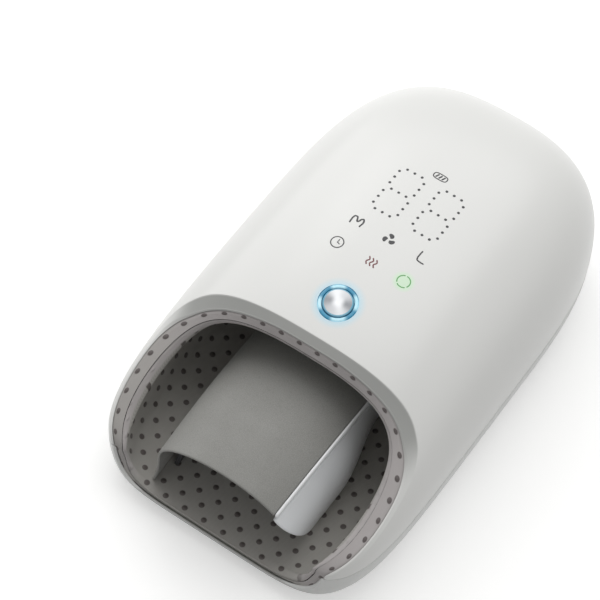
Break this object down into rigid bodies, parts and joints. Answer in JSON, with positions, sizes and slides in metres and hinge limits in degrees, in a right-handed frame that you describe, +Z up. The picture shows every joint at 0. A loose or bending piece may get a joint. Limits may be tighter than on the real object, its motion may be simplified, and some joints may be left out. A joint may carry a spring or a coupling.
{
  "type": "hand massager",
  "caption": "Cordless air-compression hand massager: egg-shaped white body with a padded chamber, palm rest, lit power button and dotted display.",
  "frame": {"origin": "on the standing surface under the middle of the body", "axes": "+Z up, -Y towards the open mouth of the chamber, +X to the right of someone who looks into it"},
  "size_m": [0.14, 0.24, 0.082],
  "materials": {
    "gloss_white": "gloss",
    "base_white": "satin",
    "bezel_grey": "satin",
    "liner_fabric": "woven with pressed dots",
    "rest_grey": "smooth matt",
    "cheek_grey": "satin",
    "bead_white": "gloss",
    "foam": "open foam",
    "frame_plastic": "matt",
    "air_bag": "satin film",
    "heater": "film",
    "silver": "polished",
    "ring_blue": "emissive",
    "board_green": "solder mask",
    "steel": "bright",
    "cell_wrap": "shrink wrap",
    "rubber": "matt",
    "tube_clear": "smooth"
  },
  "bodies": {
    "housing": {"top_shell": "gloss_white", "base_shell": "base_white", "base_plinth": "base_white", "mouth_bezel": "bezel_grey", "chamber_liner": "liner_fabric", "rim_foam": "foam", "floor_foam": "foam", "chamber_frame": "frame_plastic", "left_air_bag": "air_bag", "right_air_bag": "air_bag", "upper_air_bag": "air_bag", "heating_pad": "heater", "palm_rest_cover": "rest_grey", "palm_rest_pad": "foam", "palm_rest_frame": "frame_plastic", "palm_rest_edge": "bead_white", "palm_rest_cheek": "cheek_grey", "button_ring": "ring_blue", "button_switch": "frame_plastic", "display_board": "board_green", "light_mask": "frame_plastic", "display_screw_1": "steel", "display_screw_2": "steel", "rear_carrier": "frame_plastic", "battery_holder": "frame_plastic", "battery_cell_1": "cell_wrap", "battery_cell_2": "cell_wrap", "pump_shelf": "frame_plastic", "main_board": "board_green", "pump_motor": "steel", "pump_head": "frame_plastic", "valve_manifold": "frame_plastic", "charge_port": "frame_plastic", "air_tube_supply": "tube_clear", "air_tube_left": "tube_clear", "air_tube_right": "tube_clear", "air_tube_upper": "tube_clear", "plinth_screw_1": "steel", "plinth_screw_2": "steel", "valve_body_1": "steel", "valve_spring_1": "steel", "valve_body_2": "steel", "valve_spring_2": "steel", "valve_body_3": "steel", "valve_spring_3": "steel", "housing_screw_1": "steel", "rubber_foot_1": "rubber", "housing_screw_2": "steel", "rubber_foot_2": "rubber", "housing_screw_3": "steel", "rubber_foot_3": "rubber", "housing_screw_4": "steel", "rubber_foot_4": "rubber"},
    "power_button": {"power_button": "silver"},
    "switch_plunger": {"switch_plunger": "steel"},
    "pump_rotor": {"pump_rotor": "steel"},
    "valve_plunger_1": {"valve_plunger_1": "steel"},
    "valve_plunger_2": {"valve_plunger_2": "steel"},
    "valve_plunger_3": {"valve_plunger_3": "steel"}
  },
  "joints": [
    {"name": "power_button_press", "type": "slide", "parent": "housing", "child": "power_button", "axis": [0, 0.1479, -0.989], "range_m": [0, 0.0005], "stiffness_N_per_m": 1000, "springref_m": -0.001},
    {"name": "switch_plunger_press", "type": "slide", "parent": "housing", "child": "switch_plunger", "axis": [0, 0, -1], "range_m": [0, 0.0005]},
    {"name": "pump_rotor_turn", "type": "hinge", "parent": "housing", "child": "pump_rotor", "pos_m": [0, 0.0785, 0.0454], "axis": [1, 0, 0], "continuous": true},
    {"name": "valve_plunger_1_slide", "type": "slide", "parent": "housing", "child": "valve_plunger_1", "axis": [0, 0, -1], "range_m": [0, 0.001], "stiffness_N_per_m": 300, "springref_m": -0.001, "deforming": ["valve_spring_1"]},
    {"name": "valve_plunger_2_slide", "type": "slide", "parent": "housing", "child": "valve_plunger_2", "axis": [0, 0, -1], "range_m": [0, 0.001], "stiffness_N_per_m": 300, "springref_m": -0.001, "deforming": ["valve_spring_2"]},
    {"name": "valve_plunger_3_slide", "type": "slide", "parent": "housing", "child": "valve_plunger_3", "axis": [0, 0, -1], "range_m": [0, 0.001], "stiffness_N_per_m": 300, "springref_m": -0.001, "deforming": ["valve_spring_3"]}
  ],
  "couplings": [
    {"joint": "switch_plunger_press", "follows": "power_button_press", "ratio": 1}
  ]
}
